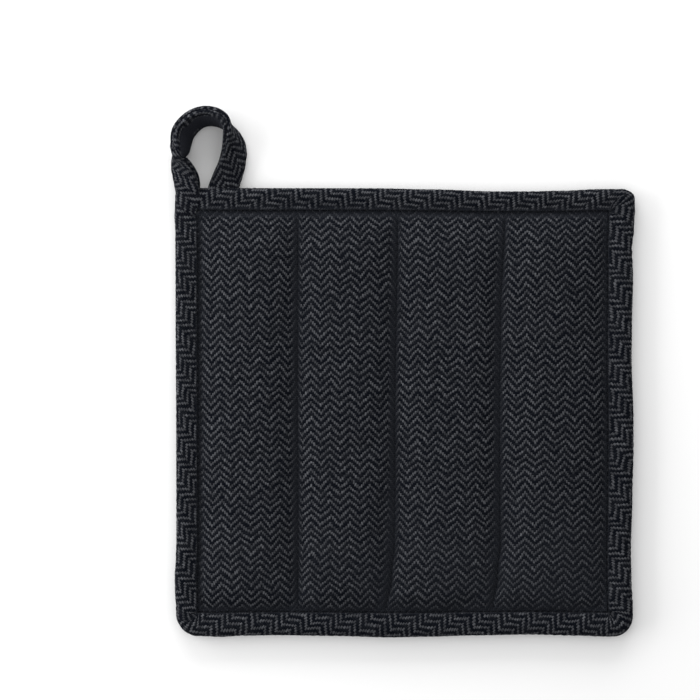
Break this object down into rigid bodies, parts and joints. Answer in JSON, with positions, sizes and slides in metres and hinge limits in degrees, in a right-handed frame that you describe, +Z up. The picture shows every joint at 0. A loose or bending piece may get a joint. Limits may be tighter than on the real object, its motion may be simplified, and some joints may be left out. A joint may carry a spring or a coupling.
{
  "type": "pot holder",
  "caption": "Square quilted cotton pot holder in a herringbone weave, with stitched channels, a folded bias binding and a twisted hanging loop at one corner.",
  "frame": {"origin": "on the surface that the pot holder lies on, under the middle of its bounding box with the loop", "axes": "+Z up out of the front, +Y towards the edge that carries the loop, +X to the right seen from the front"},
  "size_m": [0.2036, 0.2318, 0.0133],
  "materials": {
    "pad_cotton": "matt charcoal herringbone cotton",
    "bias_strip": "the same cotton cut on the bias and folded"
  },
  "bodies": {
    "root": {"pad": "pad_cotton", "binding": "bias_strip", "hanging_loop": "bias_strip"}
  },
  "joints": []
}
